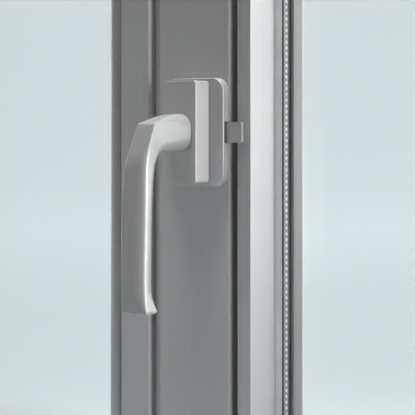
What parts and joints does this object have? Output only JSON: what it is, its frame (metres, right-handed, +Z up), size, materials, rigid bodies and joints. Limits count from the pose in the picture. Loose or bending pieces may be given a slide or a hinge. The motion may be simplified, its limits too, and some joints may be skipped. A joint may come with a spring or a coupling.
{
  "type": "window sash with lever handle",
  "caption": "Two-light aluminium window: side-hung double-glazed sash with lever handle and side tongue, beside a fixed light on a slim mullion.",
  "frame": {"origin": "centre of the frame's underside, in the middle of its length and depth", "axes": "+X right as seen from indoors, +Y outdoors, +Z up"},
  "size_m": [0.8, 0.1246, 0.76],
  "materials": {
    "frame_aluminium": "satin anodised",
    "bead_aluminium": "satin anodised",
    "sash_aluminium": "satin anodised",
    "glass": "clear",
    "spacer_aluminium": "mill finish, perforated",
    "edge_sealant": "matt",
    "grey_gasket": "matt",
    "black_gasket": "matt",
    "handle_metal": "satin",
    "hinge_metal": "satin",
    "steel": "bright zinc plated",
    "bush_polymer": "moulded"
  },
  "bodies": {
    "frame": {"frame_left_jamb": "frame_aluminium", "frame_right_jamb": "frame_aluminium", "frame_head": "frame_aluminium", "frame_sill": "frame_aluminium", "mullion": "frame_aluminium", "fixed_left_bead": "bead_aluminium", "fixed_right_bead": "bead_aluminium", "fixed_top_bead": "bead_aluminium", "fixed_bottom_bead": "bead_aluminium", "fixed_inner_pane": "glass", "fixed_outer_pane": "glass", "fixed_spacer": "spacer_aluminium", "fixed_edge_seal": "edge_sealant", "fixed_inner_gasket": "grey_gasket", "fixed_outer_gasket": "black_gasket", "frame_seal": "black_gasket", "lower_hinge_frame_leaf": "hinge_metal", "upper_hinge_frame_leaf": "hinge_metal", "lower_hinge_pin": "steel", "upper_hinge_pin": "steel", "lower_hinge_frame_screw_low": "steel", "lower_hinge_frame_screw_high": "steel", "upper_hinge_frame_screw_low": "steel", "upper_hinge_frame_screw_high": "steel"},
    "sash": {"sash_left_stile": "sash_aluminium", "sash_right_stile": "sash_aluminium", "sash_top_rail": "sash_aluminium", "sash_bottom_rail": "sash_aluminium", "sash_left_bead": "bead_aluminium", "sash_right_bead": "bead_aluminium", "sash_top_bead": "bead_aluminium", "sash_bottom_bead": "bead_aluminium", "sash_inner_pane": "glass", "sash_outer_pane": "glass", "sash_spacer": "spacer_aluminium", "sash_edge_seal": "edge_sealant", "sash_inner_gasket": "grey_gasket", "sash_outer_gasket": "black_gasket", "lower_hinge_sash_leaf": "hinge_metal", "upper_hinge_sash_leaf": "hinge_metal", "lower_hinge_sash_screw_low": "steel", "lower_hinge_sash_screw_high": "steel", "upper_hinge_sash_screw_low": "steel", "upper_hinge_sash_screw_high": "steel", "rosette_base": "handle_metal", "rosette_housing": "handle_metal", "rosette_cover": "handle_metal", "lower_mounting_screw": "steel", "upper_mounting_screw": "steel", "neck_bush": "bush_polymer", "detent_ball": "steel", "detent_spring": "steel"},
    "handle": {"lever": "handle_metal", "spindle": "steel", "drive_pinion": "steel", "detent_disc": "steel"},
    "tongue": {"tongue": "steel"}
  },
  "joints": [
    {"name": "sash_swing", "type": "hinge", "parent": "frame", "child": "sash", "pos_m": [-0.37145, -0.037, 0.38], "axis": [0, 0, -1], "range_deg": [0, 90]},
    {"name": "handle_turn", "type": "hinge", "parent": "sash", "child": "handle", "pos_m": [0.0732, -0.03, 0.38], "axis": [0, 1, 0], "range_deg": [0, 90]},
    {"name": "tongue_slide", "type": "slide", "parent": "sash", "child": "tongue", "axis": [1, 0, 0], "range_m": [-0.011, 0]}
  ],
  "couplings": [
    {"joint": "tongue_slide", "follows": "handle_turn", "m_per_rad": -0.007}
  ]
}
